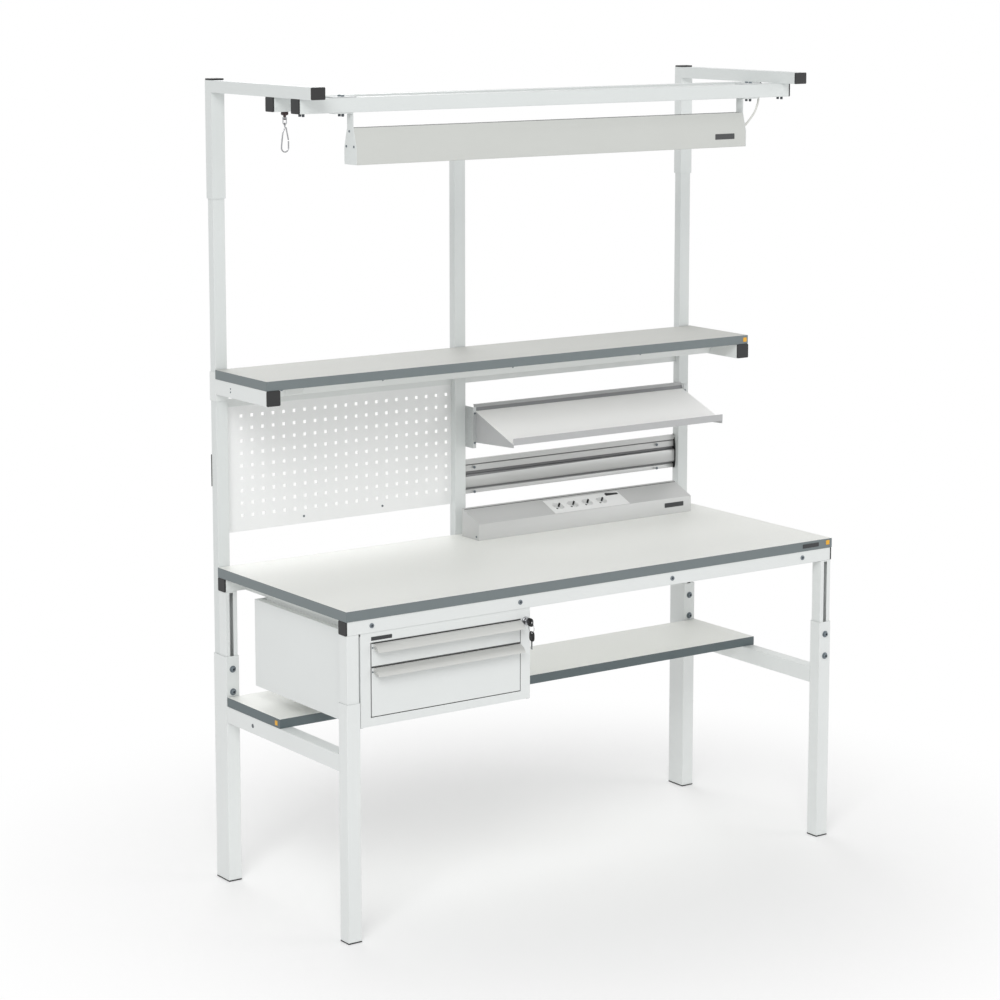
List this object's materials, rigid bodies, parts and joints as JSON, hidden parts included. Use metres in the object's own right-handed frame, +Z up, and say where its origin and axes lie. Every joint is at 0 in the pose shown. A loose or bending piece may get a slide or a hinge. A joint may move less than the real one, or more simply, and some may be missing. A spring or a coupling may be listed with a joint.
{
  "type": "workbench",
  "caption": "Height-adjustable workbench with drawers, a perforated back panel, tool rail, tray, sockets, upper shelf and an overhead lamp gantry with a tool trolley.",
  "frame": {"origin": "on the floor under the middle of the bench's outer box", "axes": "+X to the user's right along the bench, +Y from the user to the back, +Z up"},
  "size_m": [1.8, 0.7976, 2.423],
  "materials": {
    "powder_coat": "pale grey powder coat, fine orange peel",
    "laminate": "pale laminate on chipboard, grey edging",
    "panel_coat": "pale grey powder coat on sheet",
    "aluminium": "satin anodised",
    "handle_aluminium": "satin anodised pull",
    "zinc": "bright zinc plate",
    "chrome": "polished nickel",
    "foot_rubber": "black moulded foot",
    "key_black": "black plastic bow, steel blade",
    "switch_black": "black rocker",
    "socket_white": "white moulded sockets",
    "diffuser": "opal lamp cover",
    "cord_white": "pale round cord"
  },
  "bodies": {
    "stand": {"sleeve_front_left": "powder_coat", "sleeve_front_right": "powder_coat", "sleeve_rear_left": "powder_coat", "sleeve_rear_right": "powder_coat", "foot_front_left": "foot_rubber", "foot_front_right": "foot_rubber", "foot_rear_left": "foot_rubber", "foot_rear_right": "foot_rubber", "low_beam_left": "powder_coat", "low_beam_right": "powder_coat", "lower_shelf": "laminate"},
    "desk": {"inner_leg_front_left": "powder_coat", "inner_leg_front_right": "powder_coat", "inner_leg_rear_left": "powder_coat", "inner_leg_rear_right": "powder_coat", "side_post_left": "powder_coat", "side_post_right": "powder_coat", "front_rail": "powder_coat", "rear_rail": "powder_coat", "cross_beam_1": "powder_coat", "cross_beam_2": "powder_coat", "cross_beam_3": "powder_coat", "cross_beam_4": "powder_coat", "desk_board": "laminate", "middle_post": "powder_coat", "back_rail": "powder_coat", "perforated_panel": "panel_coat", "tool_rail": "aluminium", "sloping_tray": "panel_coat", "tray_bracket_left": "panel_coat", "tray_bracket_right": "panel_coat", "power_box": "aluminium", "socket_strip": "socket_white", "cabinet_case": "powder_coat", "runner_plate_left": "zinc", "runner_plate_right": "zinc", "lock_housing": "chrome"},
    "rocker": {"rocker_switch": "switch_black"},
    "drawer_upper": {"drawer_upper": "powder_coat", "handle_upper": "handle_aluminium"},
    "drawer_lower": {"drawer_lower": "powder_coat", "handle_lower": "handle_aluminium"},
    "key": {"key": "key_black"},
    "key_ring": {"key_ring_and_spare_key": "key_black"},
    "upper_shelf": {"upper_shelf": "laminate", "shelf_beam": "powder_coat", "shelf_bracket_left": "powder_coat", "shelf_bracket_right": "powder_coat"},
    "gantry": {"gantry_frame_left": "powder_coat", "gantry_frame_right": "powder_coat", "cross_rail_front": "powder_coat", "cross_rail_rear": "powder_coat", "lamp_body": "powder_coat", "lamp_diffuser": "diffuser", "lamp_hanger_left": "powder_coat", "lamp_hanger_right": "powder_coat", "lamp_cord": "cord_white"},
    "trolley": {"trolley": "chrome"},
    "snap_hook": {"snap_hook": "chrome"},
    "hook_gate": {"hook_gate": "chrome"}
  },
  "joints": [
    {"name": "desk_height", "type": "slide", "parent": "stand", "child": "desk", "axis": [0, 0, 1], "range_m": [-0.045, 0.115]},
    {"name": "shelf_height", "type": "slide", "parent": "desk", "child": "upper_shelf", "axis": [0, 0, 1], "range_m": [0, 0.25]},
    {"name": "gantry_height", "type": "slide", "parent": "desk", "child": "gantry", "axis": [0, 0, 1], "range_m": [-0.15, 0.08]},
    {"name": "drawer_upper_slide", "type": "slide", "parent": "desk", "child": "drawer_upper", "axis": [0, -1, 0], "range_m": [0, 0.48]},
    {"name": "drawer_lower_slide", "type": "slide", "parent": "desk", "child": "drawer_lower", "axis": [0, -1, 0], "range_m": [0, 0.48]},
    {"name": "key_turn", "type": "hinge", "parent": "desk", "child": "key", "pos_m": [-0.282, -0.35875, 0.859], "axis": [0, 1, 0], "range_deg": [-90, 0]},
    {"name": "key_ring_swing", "type": "hinge", "parent": "key", "child": "key_ring", "pos_m": [-0.282, -0.38675, 0.857], "axis": [1, 0, 0], "range_deg": [-60, 15]},
    {"name": "rocker_tilt", "type": "hinge", "parent": "desk", "child": "rocker", "pos_m": [0.531, 0.30417, 1.04257], "axis": [0, -0.9243, -0.3818], "range_deg": [0, 10]},
    {"name": "trolley_run", "type": "slide", "parent": "gantry", "child": "trolley", "axis": [1, 0, 0], "range_m": [0, 1.68]},
    {"name": "hook_swivel", "type": "hinge", "parent": "trolley", "child": "snap_hook", "pos_m": [-0.849, 0.03025, 2.3], "axis": [0, 0, 1], "continuous": true},
    {"name": "gate_hinge", "type": "hinge", "parent": "snap_hook", "child": "hook_gate", "pos_m": [-0.8452, 0.03025, 2.2947], "axis": [0, 1, 0], "range_deg": [0, 25], "stiffness_Nm_per_rad": 0.05}
  ]
}
